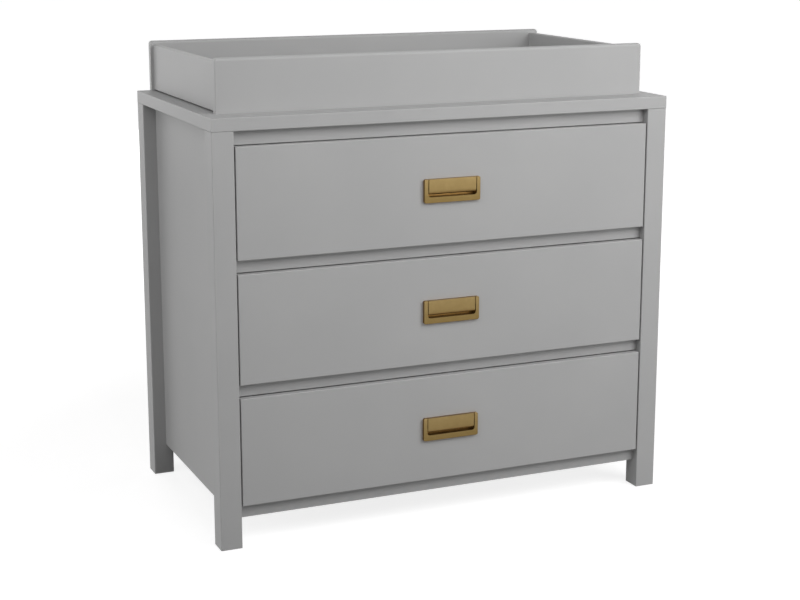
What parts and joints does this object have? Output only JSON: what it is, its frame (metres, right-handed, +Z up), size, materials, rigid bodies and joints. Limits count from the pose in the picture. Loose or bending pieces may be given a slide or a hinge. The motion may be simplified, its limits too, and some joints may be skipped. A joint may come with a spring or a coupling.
{
  "type": "changing dresser",
  "caption": "Painted changing dresser: square-legged carcass, inset drawers with brass cup pulls on roller slides, and a shallow board-sided tray on top for a changing pad.",
  "frame": {"origin": "on the floor, in the middle of the carcass", "axes": "+X to the right seen from the front, +Y to the back, +Z up"},
  "size_m": [0.97, 0.5394, 0.943],
  "materials": {
    "painted_board": "satin grey paint over board",
    "drawer_board": "grey paper laminate over board",
    "hardboard": "grey printed face on thin hardboard",
    "slide_steel": "white epoxy coat on folded sheet",
    "nylon": "natural nylon",
    "brass_finish": "brushed brass finish with a clear coat",
    "zinc_steel": "bright zinc plate",
    "joiner_plastic": "grey extruded plastic"
  },
  "bodies": {
    "root": {"top_panel": "painted_board", "front_leg_left": "painted_board", "front_leg_right": "painted_board", "back_leg_left": "painted_board", "back_leg_right": "painted_board", "side_panel_left": "painted_board", "side_panel_right": "painted_board", "top_front_rail": "painted_board", "upper_middle_rail": "painted_board", "lower_middle_rail": "painted_board", "bottom_front_rail": "painted_board", "top_back_rail": "painted_board", "bottom_back_rail": "painted_board", "tray_front_board": "painted_board", "tray_back_board": "painted_board", "tray_side_board_left": "painted_board", "tray_side_board_right": "painted_board", "back_panel_left": "hardboard", "back_panel_right": "hardboard", "back_panel_joiner": "joiner_plastic", "tray_mending_plates": "zinc_steel", "foot_glides": "nylon", "cabinet_slide_1_left": "slide_steel", "cabinet_slide_1_right": "slide_steel", "cabinet_slide_2_left": "slide_steel", "cabinet_slide_2_right": "slide_steel", "cabinet_slide_3_left": "slide_steel", "cabinet_slide_3_right": "slide_steel"},
    "drawer_1": {"drawer_1_front": "painted_board", "drawer_1_back": "drawer_board", "drawer_1_bottom": "hardboard", "drawer_1_pull": "brass_finish", "drawer_1_side_left": "drawer_board", "drawer_1_side_right": "drawer_board", "drawer_1_runner_left": "slide_steel", "drawer_1_runner_right": "slide_steel"},
    "front_rollers_1": {"front_rollers_1": "nylon"},
    "rear_rollers_1": {"rear_rollers_1": "nylon"},
    "drawer_2": {"drawer_2_front": "painted_board", "drawer_2_back": "drawer_board", "drawer_2_bottom": "hardboard", "drawer_2_pull": "brass_finish", "drawer_2_side_left": "drawer_board", "drawer_2_side_right": "drawer_board", "drawer_2_runner_left": "slide_steel", "drawer_2_runner_right": "slide_steel"},
    "front_rollers_2": {"front_rollers_2": "nylon"},
    "rear_rollers_2": {"rear_rollers_2": "nylon"},
    "drawer_3": {"drawer_3_front": "painted_board", "drawer_3_back": "drawer_board", "drawer_3_bottom": "hardboard", "drawer_3_pull": "brass_finish", "drawer_3_side_left": "drawer_board", "drawer_3_side_right": "drawer_board", "drawer_3_runner_left": "slide_steel", "drawer_3_runner_right": "slide_steel"},
    "front_rollers_3": {"front_rollers_3": "nylon"},
    "rear_rollers_3": {"rear_rollers_3": "nylon"}
  },
  "joints": [
    {"name": "drawer_1_slide", "type": "slide", "parent": "root", "child": "drawer_1", "axis": [0, -1, 0], "range_m": [0, 0.335]},
    {"name": "front_rollers_1_turn", "type": "hinge", "parent": "root", "child": "front_rollers_1", "pos_m": [0, -0.2335, 0.6002], "axis": [1, 0, 0], "continuous": true},
    {"name": "rear_rollers_1_turn", "type": "hinge", "parent": "drawer_1", "child": "rear_rollers_1", "pos_m": [0, 0.1865, 0.597], "axis": [1, 0, 0], "continuous": true},
    {"name": "drawer_2_slide", "type": "slide", "parent": "root", "child": "drawer_2", "axis": [0, -1, 0], "range_m": [0, 0.335]},
    {"name": "front_rollers_2_turn", "type": "hinge", "parent": "root", "child": "front_rollers_2", "pos_m": [0, -0.2335, 0.3582], "axis": [1, 0, 0], "continuous": true},
    {"name": "rear_rollers_2_turn", "type": "hinge", "parent": "drawer_2", "child": "rear_rollers_2", "pos_m": [0, 0.1865, 0.355], "axis": [1, 0, 0], "continuous": true},
    {"name": "drawer_3_slide", "type": "slide", "parent": "root", "child": "drawer_3", "axis": [0, -1, 0], "range_m": [0, 0.335]},
    {"name": "front_rollers_3_turn", "type": "hinge", "parent": "root", "child": "front_rollers_3", "pos_m": [0, -0.2335, 0.1162], "axis": [1, 0, 0], "continuous": true},
    {"name": "rear_rollers_3_turn", "type": "hinge", "parent": "drawer_3", "child": "rear_rollers_3", "pos_m": [0, 0.1865, 0.113], "axis": [1, 0, 0], "continuous": true}
  ],
  "couplings": [
    {"joint": "front_rollers_1_turn", "follows": "drawer_1_slide", "rad_per_m": 100},
    {"joint": "rear_rollers_1_turn", "follows": "drawer_1_slide", "rad_per_m": 100},
    {"joint": "front_rollers_2_turn", "follows": "drawer_2_slide", "rad_per_m": 100},
    {"joint": "rear_rollers_2_turn", "follows": "drawer_2_slide", "rad_per_m": 100},
    {"joint": "front_rollers_3_turn", "follows": "drawer_3_slide", "rad_per_m": 100},
    {"joint": "rear_rollers_3_turn", "follows": "drawer_3_slide", "rad_per_m": 100}
  ]
}
